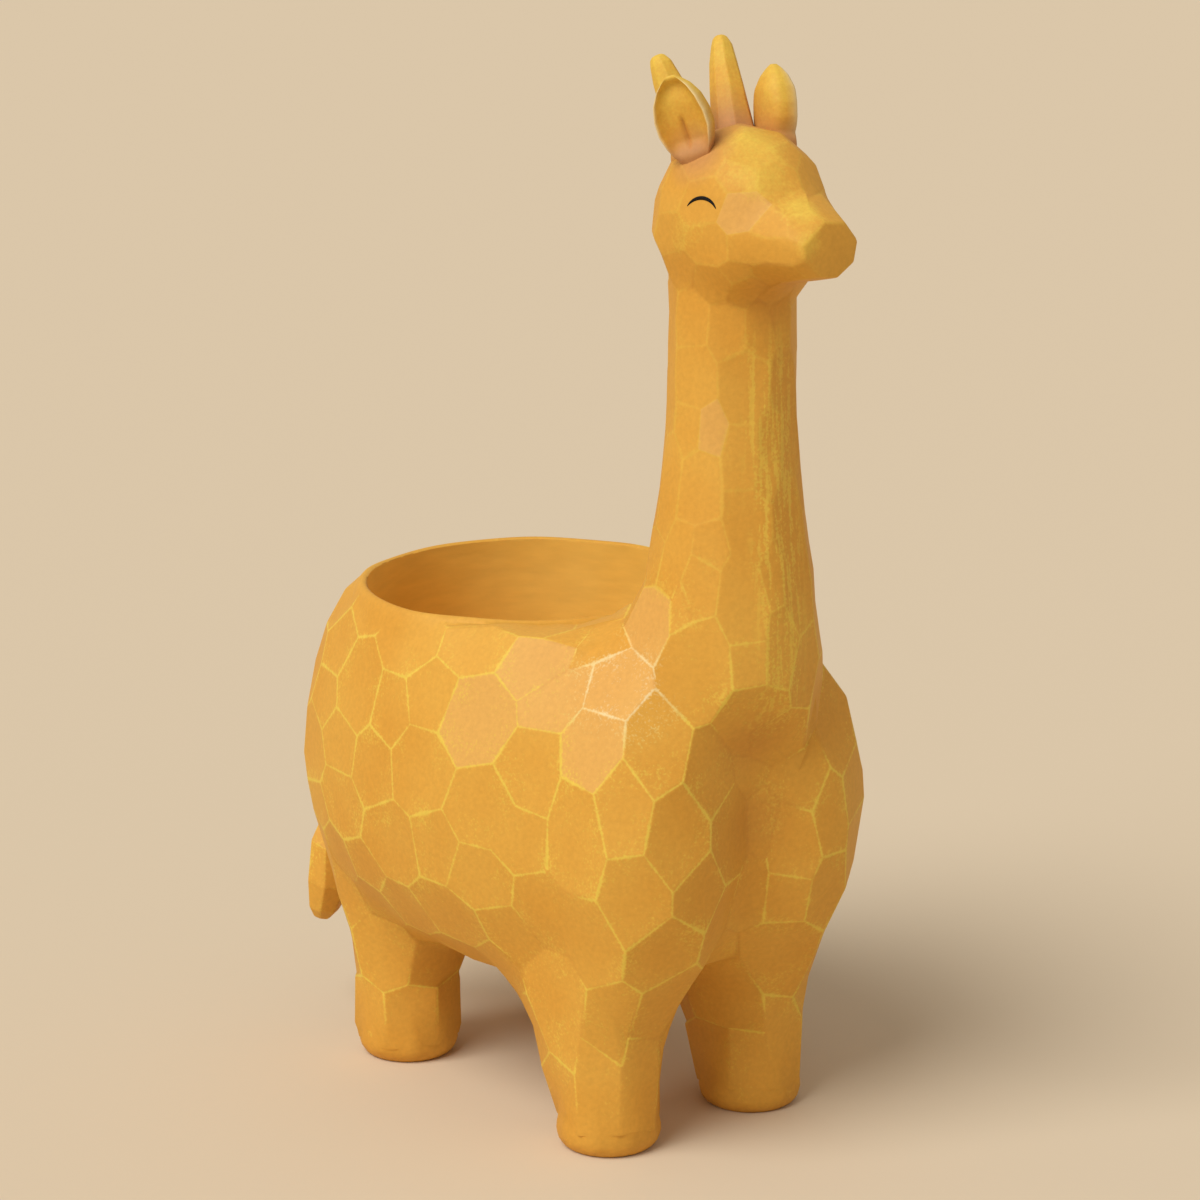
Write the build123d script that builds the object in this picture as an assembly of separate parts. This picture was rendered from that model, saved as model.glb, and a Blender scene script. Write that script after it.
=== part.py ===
from build123d import *
import os
from math import copysign, cos, pi, radians, sin, sqrt
from random import Random

# A giraffe-shaped planter. One thick cast body carries a planting bowl in its back. The ears, horns and tail
# are small castings that are glued into sockets on pegs. The surface looks whittled: every limb is a blank
# that is shaved with flat knife strokes. The animal faces -Y, its left is +X, and it stands on Z = 0.
# Lengths are millimetres. While the pieces are made, Y is measured from the middle of the four feet.

# Stance
FOOT_SPREAD = 44.0         # left foot centre to right foot centre
FOOT_BASE = 79.0           # front foot centres to the rear right foot centre
FOOT_STEP_AHEAD = 6.0      # the rear left foot steps ahead of the right one
FOOT_STEP_ASIDE = 5.0
FOOT_RADIUS = 12.1
FOOT_EDGE = 2.4            # height of the worn edge round each sole
FOOT_EDGE_INSET = 2.0
BELLY_Z = 33.0             # flat underside between the legs

# Bowl
BOWL_DEPTH = 78.0
BOWL_FLOOR_WALL = 11.0     # between the bowl and the belly
BOWL_SETBACK = 16.5        # bowl axis behind the middle of the feet
BOWL_MOUTH_RADIUS = 40.0
BOWL_SWELL = 2.0           # how much wider the bowl is below its mouth
BOWL_SWELL_DROP = 26.0     # widest level below the rim
BOWL_DRAW = 3.0            # how much narrower it is at the floor
BOWL_FLOOR_FILLET = 12.0
BOWL_CUT_ABOVE_RIM = 32.0  # the cut runs on up through the foot of the neck
LIP_WALL = 2.4
COLLAR_DEPTH = 18.0        # height of the shoulder under the rim
COLLAR_FLARE = 4.8         # how much wider the collar is at its foot
BOWL_FLOOR_Z = BELLY_Z + BOWL_FLOOR_WALL
RIM_Z = BOWL_FLOOR_Z + BOWL_DEPTH

# Drain hole and its plug
DRAIN_RADIUS = 5.0
PLUG_CLEARANCE = 0.1
PLUG_TIP = 1.5             # plug tip above the bowl floor
PLUG_FLANGE_OVERLAP = 3.5  # flange beyond the edge of the hole
PLUG_FLANGE = 2.0
PLUG_TAB_RADIUS = 4.0
PLUG_TAB = 5.0
PLUG_TAB_THICKNESS = 2.6

# Trunk
SIDE_WALL = 9.0            # bowl to flank at the widest place
TRUNK_HALF_LENGTH = 70.0
TRUNK_SETBACK = 6.5        # trunk centre behind the middle of the feet
TRUNK_WIDEST = 43.0        # widest level above the belly
TRUNK_RISE = 65.0          # widest level to the crown, which the rim cuts off
TRUNK_DROP = 47.0          # widest level to the bottom of the egg, which the belly cuts off
TRUNK_HALF_WIDTH = BOWL_MOUTH_RADIUS + BOWL_SWELL + SIDE_WALL
TRUNK_Z = BELLY_Z + TRUNK_WIDEST

# Shoulders, which the front legs hang from
SHOULDER_APART = 38.0
SHOULDER_AHEAD = 46.5      # in front of the middle of the feet
SHOULDER_UP = 45.0         # above the belly
SHOULDER_HALF_WIDTH = 22.0
SHOULDER_HALF_LENGTH = 23.5
SHOULDER_RISE = 42.0
SHOULDER_DROP = 44.0

# Legs, each a lower and an upper taper
LEG_KNEE_DROP = 6.0        # knee level below the belly
LEG_KNEE_RADIUS = 13.1
LEG_ROOT_RISE = 25.0       # top of the leg above the belly
FORELEG_ROOT_RADIUS = 19.0
FORELEG_FLARE_FOOT = 10.0  # level where the back of a front leg starts to flare
FORELEG_FLARE_RISE = 13.0  # level above the belly where it meets the flank
FORELEG_FLARE_APART = 42.0
FORELEG_FLARE_BACK = 12.0  # top of the flare behind the foot
FORELEG_FLARE_HALF_WIDTH = 16.0
FORELEG_FLARE_HALF_LENGTH = 23.0
FORELEG_FLARE_CLOSE = 24.0 # height over which it closes into the shoulder
FORELEG_FLARE_CLOSE_RADIUS = 13.0
HINDLEG_ROOT_RADIUS = 17.0
HINDLEG_ROOT_APART = 50.0
HINDLEG_ROOT_BACK = 44.0   # behind the middle of the feet

# Neck and chest
NECK_AHEAD = 56.0          # in front of the middle of the feet
NECK_ROOT_DROP = 36.0      # neck foot below the rim
NECK_LENGTH = 122.0        # neck foot to the throat
NECK_RADIUS = 13.8         # at the throat
CHEST_DROP = 8.0           # chest centre below the rim
CHEST_HALF_WIDTH = 21.0
CHEST_HALF_LENGTH = 19.8
CHEST_HALF_HEIGHT = 27.0
NECK_FOOT_Z = RIM_Z - NECK_ROOT_DROP
NECK_TOP_Z = NECK_FOOT_Z + NECK_LENGTH

# Head
SKULL_AHEAD = 2.5          # skull centre in front of the neck
SKULL_UP = 11.5            # skull centre above the throat
SKULL_HALF_WIDTH = 17.8
SKULL_HALF_LENGTH = 20.0
SKULL_HALF_HEIGHT = 18.6
JAW_DROP = 19.5            # bottom of the jaw below the skull centre
NOSE_AHEAD = 29.3          # nose tip in front of the skull centre
NOSE_DROP = 5.6
NOSE_HALF_WIDTH = 8.4
NOSE_HALF_HEIGHT = 6.4
MUZZLE_DROP = 1.6          # muzzle root below the skull centre
MUZZLE_ROOT_HALF_WIDTH = 17.4
MUZZLE_ROOT_HALF_HEIGHT = 15.6
SKULL_Y = -NECK_AHEAD - SKULL_AHEAD
SKULL_Z = NECK_TOP_Z + SKULL_UP

# Eyes, each a carved arc that is filled with dark paint
EYE_AHEAD = 6.0            # in front of the skull centre
EYE_UP = 3.0
EYE_FLAT = 1.0             # depth of the flat that the eye is carved on
EYE_HALF_WIDTH = 3.4
EYE_RISE = 2.4
EYE_LINE_RADIUS = 0.6

# Ears
EAR_LENGTH = 19.5
EAR_HALF_WIDTH = 6.2
EAR_HALF_DEPTH = 4.4
EAR_AROUND = 97.0          # degrees round the skull from the nose
EAR_UP = 44.0              # degrees up the skull
EAR_SINK = 1.9             # root below the skull's surface
EAR_LEAN = 8.0             # degrees out from upright
EAR_RECLINE = 10.0         # degrees back from upright
EAR_FACES = 48.0           # degrees out from straight ahead
EAR_CUP_RADIUS = 4.9
EAR_CUP_HALF_LENGTH = 7.4
EAR_CUP_DEPTH = 2.4

# Horns
HORN_LENGTH = 26.2
HORN_RIGHT_SHARE = 0.87    # the right horn is carved a little shorter
HORN_AROUND = 143.0        # degrees round the skull from the nose
HORN_UP = 52.0             # degrees up the skull
HORN_SINK = 2.6            # root below the skull's surface
HORN_LEAN = 10.0           # degrees out from upright
HORN_RECLINE = 24.5        # degrees back from upright
HORN_ROOT_RADIUS = 5.2
HORN_TIP_RADIUS = 2.9
HORN_TIP_ROUND = 1.6

# Tail, which swings to the right of the rump
TAIL_ASIDE = 18.0          # root to the right of the middle
TAIL_ROOT_DROP = 15.5      # root below the trunk's widest level
TAIL_SINK = 2.5            # root below the rump's surface
TAIL_LENGTH = 37.0
TAIL_TRAIL = 11.0          # degrees that it swings back
TAIL_SWAY = 8.0            # degrees that it swings to the right
TAIL_HALF_WIDTH = 7.0
TAIL_HALF_DEPTH = 6.5
TAIL_PEG_DOWN_SHARE = 0.2  # of the way down the tail

# Pegs and sockets of the glued pieces
PEG_RADIUS = 1.8
PEG_LENGTH = 5.0           # depth in the casting
PEG_OVERLAP = 4.0          # length that runs on inside the glued piece
PEG_CLEARANCE = 0.1

# Knife strokes
TRUNK_STROKE_COUNT = 150
SHOULDER_STROKE_COUNT = 54
CHEST_STROKE_COUNT = 30
SKULL_STROKE_COUNT = 54
EAR_STROKE_COUNT = 26
TAIL_STROKE_COUNT = 26
COLLAR_STROKE_COUNT = 17
LIMB_STROKE_COUNT = 9
MUZZLE_STROKE_COUNT = 9
HORN_STROKE_COUNT = 7
STROKE_DEPTH = 0.6         # deepest extra bite of one stroke
STROKE_WANDER = 0.12       # radians
TRUNK_FULLNESS = 2.3       # 2 is an ellipsoid, and more is boxier
JAW_FULLNESS = 2.6
EGG_FULLNESS = 2.0
GOLDEN_ANGLE = pi * (3 - sqrt(5))
MUZZLE_TURN = pi / 6       # one flat lies under the chin
BLANK = 600.0              # block that each limb is shaved from

# Neck tapers, each from a low oval to a high circle.
# Low level share of the neck height, half width, half length and setback shares of the throat radius,
# then high level share, radius share and setback share.
NECK_TAPER_SHARES = [
    (0.000, 2.97, 2.46, 1.74, 0.393, 1.01, 0.43),
    (0.115, 2.21, 1.70, 0.65, 0.525, 0.96, 0.00),
    (0.238, 1.67, 1.42, 0.07, 0.648, 0.96, 0.00),
    (0.344, 1.40, 1.38, 0.00, 0.787, 0.94, 0.00),
    (0.525, 1.06, 1.06, 0.00, 1.000, 0.99, 0.00),
]

os.makedirs("parts", exist_ok=True)


def shave(strokes):
    """The convex solid left of a block when each stroke, a point and its outward normal, took its flat."""
    solid = Box(BLANK, BLANK, BLANK).solid()
    for point, outward in strokes:
        solid = solid.split(Plane(origin=point, z_dir=outward), keep=Keep.BOTTOM)
    return solid


def egg_strokes(centre, half_sizes, drop, count, seed, high_fullness=EGG_FULLNESS, low_fullness=EGG_FULLNESS):
    """Strokes that touch an egg at points spread by the golden angle; drop is its depth below the centre."""
    chance = Random(seed)
    across, along, rise = half_sizes
    strokes = []
    for i in range(count):
        level = 1 - (2 * i + 1) / count
        ring = sqrt(1 - level * level)
        turn = i * GOLDEN_ANGLE + chance.uniform(-1, 1) * STROKE_WANDER
        sizes = (across, along, rise if level > 0 else drop)
        fullness = high_fullness if level > 0 else low_fullness
        aim = (ring * cos(turn), ring * sin(turn), level)
        reach = sum(abs(part) ** fullness for part in aim) ** (-1 / fullness)
        touch = Vector(*(part * reach * size for part, size in zip(aim, sizes)))
        slope = [copysign(abs(part * reach) ** (fullness - 1), part) / size for part, size in zip(aim, sizes)]
        outward = Vector(*slope).normalized()
        touch -= outward * chance.uniform(0, STROKE_DEPTH)
        strokes.append((Vector(*centre) + touch, outward))
    return strokes


def taper_strokes(foot, foot_half, top, top_half, sides, turn):
    """Strokes round an oval taper between two level ovals, and one flat at each end."""
    foot, top = Vector(*foot), Vector(*top)
    strokes = [(foot, Vector(0, 0, -1)), (top, Vector(0, 0, 1))]
    for i in range(sides):
        angle = 2 * pi * i / sides + turn
        low = foot + Vector(foot_half[0] * cos(angle), foot_half[1] * sin(angle), 0)
        high = top + Vector(top_half[0] * cos(angle), top_half[1] * sin(angle), 0)
        along = Vector(-foot_half[0] * sin(angle), foot_half[1] * cos(angle), 0)
        strokes.append((low, along.cross(high - low).normalized()))
    return strokes


def trunk():
    centre = (0, TRUNK_SETBACK, TRUNK_Z)
    half = (TRUNK_HALF_WIDTH, TRUNK_HALF_LENGTH, TRUNK_RISE)
    strokes = egg_strokes(centre, half, TRUNK_DROP, TRUNK_STROKE_COUNT, 3, TRUNK_FULLNESS, TRUNK_FULLNESS)
    strokes += [((0, 0, RIM_Z), (0, 0, 1)), ((0, 0, BELLY_Z), (0, 0, -1))]
    return shave(strokes)


def collar():
    """The round shoulder that carries the rim."""
    rim = BOWL_MOUTH_RADIUS + LIP_WALL
    foot = rim + COLLAR_FLARE
    low = (0, BOWL_SETBACK, RIM_Z - COLLAR_DEPTH)
    high = (0, BOWL_SETBACK, RIM_Z)
    return shave(taper_strokes(low, (foot, foot), high, (rim, rim), COLLAR_STROKE_COUNT, STROKE_WANDER))


def shoulder(side):
    centre = (side * SHOULDER_APART / 2, -SHOULDER_AHEAD, BELLY_Z + SHOULDER_UP)
    half = (SHOULDER_HALF_WIDTH, SHOULDER_HALF_LENGTH, SHOULDER_RISE)
    return shave(egg_strokes(centre, half, SHOULDER_DROP, SHOULDER_STROKE_COUNT, 11 + side))


def chest():
    """The swell at the front of the neck, which overhangs the hollow between the shoulders."""
    half = (CHEST_HALF_WIDTH, CHEST_HALF_LENGTH, CHEST_HALF_HEIGHT)
    centre = (0, -NECK_AHEAD, RIM_Z - CHEST_DROP)
    return shave(egg_strokes(centre, half, CHEST_HALF_HEIGHT, CHEST_STROKE_COUNT, 41))


def foreleg_flare(side):
    """The back of a front leg, which arches up into the flank and closes into the shoulder."""
    foot_y = -FOOT_BASE / 2
    top_z = BELLY_Z + FORELEG_FLARE_RISE
    foot = (side * FOOT_SPREAD / 2, foot_y, FORELEG_FLARE_FOOT)
    top = (side * FORELEG_FLARE_APART / 2, foot_y + FORELEG_FLARE_BACK, top_z)
    close = (side * SHOULDER_APART / 2, foot_y, top_z + FORELEG_FLARE_CLOSE)
    foot_half = (FOOT_RADIUS, FOOT_RADIUS)
    top_half = (FORELEG_FLARE_HALF_WIDTH, FORELEG_FLARE_HALF_LENGTH)
    close_half = (FORELEG_FLARE_CLOSE_RADIUS, FORELEG_FLARE_CLOSE_RADIUS)
    turn = side * STROKE_WANDER
    return [
        shave(taper_strokes(foot, foot_half, top, top_half, LIMB_STROKE_COUNT, turn)),
        shave(taper_strokes(top, top_half, close, close_half, LIMB_STROKE_COUNT, turn)),
    ]


def leg(side, end):
    """Worn sole edge, lower taper and upper taper of one leg; end is -1 in front and 1 behind."""
    foot = (side * FOOT_SPREAD / 2, end * FOOT_BASE / 2)
    root = (side * SHOULDER_APART / 2, -SHOULDER_AHEAD)
    root_radius = FORELEG_ROOT_RADIUS
    if end > 0:
        root = (side * HINDLEG_ROOT_APART / 2, HINDLEG_ROOT_BACK)
        root_radius = HINDLEG_ROOT_RADIUS
    if end > 0 and side > 0:
        foot = (foot[0] + FOOT_STEP_ASIDE, foot[1] - FOOT_STEP_AHEAD)
    levels = [
        ((*foot, 0), FOOT_RADIUS - FOOT_EDGE_INSET),
        ((*foot, FOOT_EDGE), FOOT_RADIUS),
        ((*foot, BELLY_Z - LEG_KNEE_DROP), LEG_KNEE_RADIUS),
        ((*root, BELLY_Z + LEG_ROOT_RISE), root_radius),
    ]
    turn = STROKE_WANDER * (2 + side + 2 * end)
    tapers = []
    for (low, low_radius), (high, high_radius) in zip(levels, levels[1:]):
        low_half, high_half = (low_radius, low_radius), (high_radius, high_radius)
        tapers.append(shave(taper_strokes(low, low_half, high, high_half, LIMB_STROKE_COUNT, turn)))
    return tapers


def neck():
    tapers = []
    for i, (low, width, length, back, high, radius, high_back) in enumerate(NECK_TAPER_SHARES):
        foot = (0, back * NECK_RADIUS - NECK_AHEAD, NECK_FOOT_Z + low * NECK_LENGTH)
        top = (0, high_back * NECK_RADIUS - NECK_AHEAD, NECK_FOOT_Z + high * NECK_LENGTH)
        foot_half = (width * NECK_RADIUS, length * NECK_RADIUS)
        top_half = (radius * NECK_RADIUS, radius * NECK_RADIUS)
        turn = i * pi / LIMB_STROKE_COUNT + i * STROKE_WANDER
        tapers.append(shave(taper_strokes(foot, foot_half, top, top_half, LIMB_STROKE_COUNT, turn)))
    return tapers


def eye_place(side):
    """Centre and outward normal of the flat that one eye is carved on."""
    ahead = -EYE_AHEAD / SKULL_HALF_LENGTH
    up = EYE_UP / SKULL_HALF_HEIGHT
    out = sqrt(1 - ahead * ahead - up * up)
    slope = Vector(side * out / SKULL_HALF_WIDTH, ahead / SKULL_HALF_LENGTH, up / SKULL_HALF_HEIGHT)
    outward = slope.normalized()
    touch = Vector(side * out * SKULL_HALF_WIDTH, SKULL_Y - EYE_AHEAD, SKULL_Z + EYE_UP)
    return touch - outward * EYE_FLAT, outward


def skull():
    """A round crown on a fuller jaw."""
    centre = (0, SKULL_Y, SKULL_Z)
    half = (SKULL_HALF_WIDTH, SKULL_HALF_LENGTH, SKULL_HALF_HEIGHT)
    strokes = egg_strokes(centre, half, JAW_DROP, SKULL_STROKE_COUNT, 31, EGG_FULLNESS, JAW_FULLNESS)
    return shave(strokes + [eye_place(-1), eye_place(1)])


def muzzle():
    """A blunt taper that runs forward from the middle of the skull, with the flats of the eyes across it."""
    nose = (0, MUZZLE_DROP - NOSE_DROP, NOSE_AHEAD)
    root_half = (MUZZLE_ROOT_HALF_WIDTH, MUZZLE_ROOT_HALF_HEIGHT)
    nose_half = (NOSE_HALF_WIDTH, NOSE_HALF_HEIGHT)
    strokes = taper_strokes((0, 0, 0), root_half, nose, nose_half, MUZZLE_STROKE_COUNT, MUZZLE_TURN)
    ahead = Plane(origin=(0, SKULL_Y, SKULL_Z - MUZZLE_DROP), x_dir=(1, 0, 0), z_dir=(0, -1, 0))
    taper = ahead.location * shave(strokes)
    for point, outward in (eye_place(-1), eye_place(1)):
        taper = taper.split(Plane(origin=point, z_dir=outward), keep=Keep.BOTTOM)
    return taper


def bowl():
    """Cutter for the planting bowl; it runs on upwards, through the foot of the neck."""
    top = RIM_Z + BOWL_CUT_ABOVE_RIM
    foot = BOWL_MOUTH_RADIUS - BOWL_DRAW
    swell = (BOWL_MOUTH_RADIUS + BOWL_SWELL, RIM_Z - BOWL_SWELL_DROP)
    with BuildSketch(Plane.XZ) as profile:
        with BuildLine():
            floor = Line((0, BOWL_FLOOR_Z), (foot - BOWL_FLOOR_FILLET, BOWL_FLOOR_Z))
            corner = TangentArc(floor @ 1, (foot, BOWL_FLOOR_Z + BOWL_FLOOR_FILLET), tangent=floor % 1)
            side = ThreePointArc(corner @ 1, swell, (BOWL_MOUTH_RADIUS, RIM_Z))
            Polyline(side @ 1, (BOWL_MOUTH_RADIUS, top), (0, top), (0, BOWL_FLOOR_Z))
        make_face()
    return Pos(0, BOWL_SETBACK, 0) * revolve(profile.sketch, Axis.Z)


def eye_tube(side):
    """The carved arc of one closed eye, an upturned smile on its flat."""
    centre, outward = eye_place(side)
    flat = Plane(origin=centre, x_dir=Vector(0, 0, 1).cross(outward), z_dir=outward)
    left = flat.from_local_coords((-EYE_HALF_WIDTH, -EYE_RISE / 2, 0))
    top = flat.from_local_coords((0, EYE_RISE / 2, 0))
    right = flat.from_local_coords((EYE_HALF_WIDTH, -EYE_RISE / 2, 0))
    line = ThreePointArc(left, top, right)
    return sweep(Plane(origin=line @ 0, z_dir=line % 0) * Circle(EYE_LINE_RADIUS), path=line)


def skull_seat(side, around, up, sink):
    """A point a little below the skull's surface; around and up are degrees from the nose."""
    level = cos(radians(up))
    aim = (side * level * sin(radians(around)), -level * cos(radians(around)), sin(radians(up)))
    half = (SKULL_HALF_WIDTH - sink, SKULL_HALF_LENGTH - sink, SKULL_HALF_HEIGHT - sink)
    return Pos(aim[0] * half[0], SKULL_Y + aim[1] * half[1], SKULL_Z + aim[2] * half[2])


def ear_seat(side):
    """Frame at the root of one ear: Z runs up the ear, and -Y is the way that its cup faces."""
    root = skull_seat(side, EAR_AROUND, EAR_UP, EAR_SINK)
    return root * Rot(-EAR_RECLINE, side * EAR_LEAN, 0) * Rot(0, 0, side * EAR_FACES)


def ear(side):
    half = (EAR_HALF_WIDTH, EAR_HALF_DEPTH, EAR_LENGTH / 2)
    leaf = shave(egg_strokes((0, 0, EAR_LENGTH / 2), half, EAR_LENGTH / 2, EAR_STROKE_COUNT, 51))
    with BuildSketch(Plane.XZ) as oval:
        Ellipse(EAR_CUP_RADIUS, EAR_CUP_HALF_LENGTH)
        beside = (Align.MAX, Align.CENTER)
        Rectangle(2 * EAR_CUP_RADIUS, 4 * EAR_CUP_HALF_LENGTH, align=beside, mode=Mode.SUBTRACT)
    scoop = revolve(oval.sketch, Axis.Z)
    back = EAR_CUP_RADIUS + EAR_HALF_DEPTH - EAR_CUP_DEPTH
    return ear_seat(side) * (leaf - Pos(0, -back, EAR_LENGTH / 2) * scoop)


def horn_seat(side):
    """Frame at the root of one horn, with Z up the horn."""
    root = skull_seat(side, HORN_AROUND, HORN_UP, HORN_SINK)
    return root * Rot(-HORN_RECLINE, side * HORN_LEAN, 0)


def horn(side):
    tip = HORN_LENGTH if side > 0 else HORN_LENGTH * HORN_RIGHT_SHARE
    levels = [
        (-PEG_LENGTH, HORN_ROOT_RADIUS),
        (tip - HORN_TIP_ROUND, HORN_TIP_RADIUS),
        (tip, HORN_TIP_RADIUS - HORN_TIP_ROUND / 2),
    ]
    tapers = []
    for (low, low_radius), (high, high_radius) in zip(levels, levels[1:]):
        low_half, high_half = (low_radius, low_radius), (high_radius, high_radius)
        strokes = taper_strokes((0, 0, low), low_half, (0, 0, high), high_half, HORN_STROKE_COUNT, 0)
        tapers.append(shave(strokes))
    return horn_seat(side) * (tapers[0] + tapers[1])


def tail_root():
    """A point a little below the surface of the rump, to the right of its middle."""
    aside = (TAIL_ASIDE / TRUNK_HALF_WIDTH) ** TRUNK_FULLNESS
    down = (TAIL_ROOT_DROP / TRUNK_DROP) ** TRUNK_FULLNESS
    back = TRUNK_HALF_LENGTH * (1 - aside - down) ** (1 / TRUNK_FULLNESS)
    return Pos(-TAIL_ASIDE, TRUNK_SETBACK + back - TAIL_SINK, TRUNK_Z - TAIL_ROOT_DROP)


def tail():
    half = (TAIL_HALF_WIDTH, TAIL_HALF_DEPTH, TAIL_LENGTH / 2)
    bean = shave(egg_strokes((0, 0, -TAIL_LENGTH / 2), half, TAIL_LENGTH / 2, TAIL_STROKE_COUNT, 61))
    return tail_root() * Rot(TAIL_TRAIL, TAIL_SWAY, 0) * bean


def tail_seat():
    """Frame of the tail's peg, which points backwards out of the rump."""
    return tail_root() * Pos(0, 0, -TAIL_PEG_DOWN_SHARE * TAIL_LENGTH) * Rot(-90, 0, 0)


def peg(radius, depth):
    up = (Align.CENTER, Align.CENTER, Align.MIN)
    return Pos(0, 0, -depth) * Cylinder(radius, depth + PEG_OVERLAP, align=up)


def plug():
    """A soft bung: the stem fills the drain hole, and a flange and a pull tab sit under the belly."""
    up = (Align.CENTER, Align.CENTER, Align.MIN)
    tip = BOWL_FLOOR_Z + PLUG_TIP
    stem = Cylinder(DRAIN_RADIUS - PLUG_CLEARANCE, tip - BELLY_Z, align=up)
    flange = Pos(0, 0, -PLUG_FLANGE) * Cylinder(DRAIN_RADIUS + PLUG_FLANGE_OVERLAP, PLUG_FLANGE, align=up)
    disc = Rot(90, 0, 0) * Cylinder(PLUG_TAB_RADIUS, PLUG_TAB_THICKNESS)
    drop = PLUG_FLANGE + PLUG_TAB - PLUG_TAB_RADIUS
    neck_block = Pos(0, 0, -drop) * Box(2 * PLUG_TAB_RADIUS, PLUG_TAB_THICKNESS, drop, align=up)
    return Pos(0, BOWL_SETBACK, BELLY_Z) * (stem + flange + neck_block + Pos(0, 0, -drop) * disc)


def drain():
    depth = BOWL_FLOOR_Z - BELLY_Z
    return Pos(0, BOWL_SETBACK, BELLY_Z + depth / 2) * Cylinder(DRAIN_RADIUS, 2 * depth)


def limbs():
    blanks = [trunk(), collar(), chest(), skull(), muzzle(), *neck()]
    for side in (-1, 1):
        blanks += [shoulder(side), *foreleg_flare(side), *leg(side, -1), *leg(side, 1)]
    return blanks


def largest(shape):
    return shape.solids().sort_by(SortBy.VOLUME)[-1]


blanks = limbs()
blank = blanks[0].fuse(*blanks[1:])
body = blank - bowl() - drain()
nodes = {}

glued = {
    "horn_right": (horn(-1), horn_seat(-1)),
    "horn_left": (horn(1), horn_seat(1)),
    "ear_right": (ear(-1), ear_seat(-1)),
    "ear_left": (ear(1), ear_seat(1)),
    "tail": (tail(), tail_seat()),
}
for name, (piece, seat) in glued.items():
    shown = largest(piece.cut(blank, *nodes.values()))
    nodes[name] = shown + seat * peg(PEG_RADIUS, PEG_LENGTH)
    body -= seat * peg(PEG_RADIUS + PEG_CLEARANCE, PEG_LENGTH + PEG_CLEARANCE)

for name, side in (("eye_line_right", -1), ("eye_line_left", 1)):
    tube = eye_tube(side)
    nodes[name] = tube & blank
    body -= tube

nodes["drain_plug"] = plug()
nodes["body_casting"] = body

whole = Compound(children=[largest(shape) for shape in nodes.values()]).bounding_box()
settle = Pos(-whole.center().X, -whole.center().Y, -whole.min.Z)
for name, shape in nodes.items():
    solid = settle * largest(shape)
    solid.label = name
    export_step(solid, f"parts/{name}.step")
    print(name, len(shape.solids()), solid.is_valid, round(solid.volume / 1000, 2), len(solid.faces()))
print("moved", settle.position, "size", whole.size)
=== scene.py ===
import bpy
import bmesh
import numpy as np
from math import cos, exp, pi, radians, sin
from mathutils import Matrix, Vector
from mathutils.bvhtree import BVHTree
from mathutils.kdtree import KDTree


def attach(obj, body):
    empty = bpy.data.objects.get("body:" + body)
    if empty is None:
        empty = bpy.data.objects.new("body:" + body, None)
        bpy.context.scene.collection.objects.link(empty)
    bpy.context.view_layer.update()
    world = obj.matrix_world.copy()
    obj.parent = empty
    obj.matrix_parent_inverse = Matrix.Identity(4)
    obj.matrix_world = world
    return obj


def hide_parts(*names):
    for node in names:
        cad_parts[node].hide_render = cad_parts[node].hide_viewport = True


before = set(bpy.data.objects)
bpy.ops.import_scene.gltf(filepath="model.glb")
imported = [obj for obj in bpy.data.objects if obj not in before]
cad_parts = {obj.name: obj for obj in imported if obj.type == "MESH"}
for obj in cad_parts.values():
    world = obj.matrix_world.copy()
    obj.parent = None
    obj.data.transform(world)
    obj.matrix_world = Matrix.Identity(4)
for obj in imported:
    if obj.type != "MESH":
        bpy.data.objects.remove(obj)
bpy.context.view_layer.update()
mm = 0.001
scene = bpy.context.scene
print("frame loaded, pieces in it:", len(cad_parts))


# helpers

def newObject(name, data):
    obj = bpy.data.objects.new(name, data)
    scene.collection.objects.link(obj)
    return obj


def meshOf(name, bm):
    mesh = bpy.data.meshes.new(name)
    bm.to_mesh(mesh)
    bm.free()
    return mesh


def bakeModifiers(obj):
    # the evaluated mesh takes the place of the modifiers
    bpy.context.view_layer.update()
    graph = bpy.context.evaluated_depsgraph_get()
    mesh = bpy.data.meshes.new_from_object(obj.evaluated_get(graph))
    obj.modifiers.clear()
    obj.data = mesh
    return obj


def skin(name, rings, capStart=True, capEnd=True):
    # rings of points, each with the same count, joined into a closed tube
    bm = bmesh.new()
    rows = [[bm.verts.new(point) for point in ring] for ring in rings]
    count = len(rows[0])
    for low, high in zip(rows, rows[1:]):
        for i in range(count):
            j = (i + 1) % count
            bm.faces.new((low[i], low[j], high[j], high[i]))
    if capStart:
        bm.faces.new(rows[0][::-1])
    if capEnd:
        bm.faces.new(rows[-1])
    bmesh.ops.recalc_face_normals(bm, faces=bm.faces)
    return meshOf(name, bm)


def lathe(name, profile, centre, steps=96):
    # profile is radius and height from the bottom of the axis to its top, without the points on the axis
    turns = [2 * pi * i / steps for i in range(steps)]
    rings = [[(centre[0] + r * cos(a), centre[1] + r * sin(a), h) for a in turns] for r, h in profile]
    return skin(name, rings)


def points(mesh):
    flat = np.zeros(len(mesh.vertices) * 3, np.float32)
    mesh.vertices.foreach_get("co", flat)
    return flat.reshape(-1, 3).astype(float)


def readAttribute(mesh, name, width=3):
    attribute = mesh.attributes[name]
    flat = np.zeros(len(attribute.data) * width, np.float32)
    attribute.data.foreach_get("vector" if width == 3 else "value", flat)
    return flat.reshape(-1, width).astype(float) if width == 3 else flat.astype(float)


def writeAttribute(mesh, name, values, domain="POINT"):
    kind = "FLOAT_VECTOR" if values.ndim == 2 else "FLOAT"
    attribute = mesh.attributes.get(name) or mesh.attributes.new(name, kind, domain)
    attribute.data.foreach_set("vector" if values.ndim == 2 else "value", values.astype(np.float32).ravel())


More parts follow.
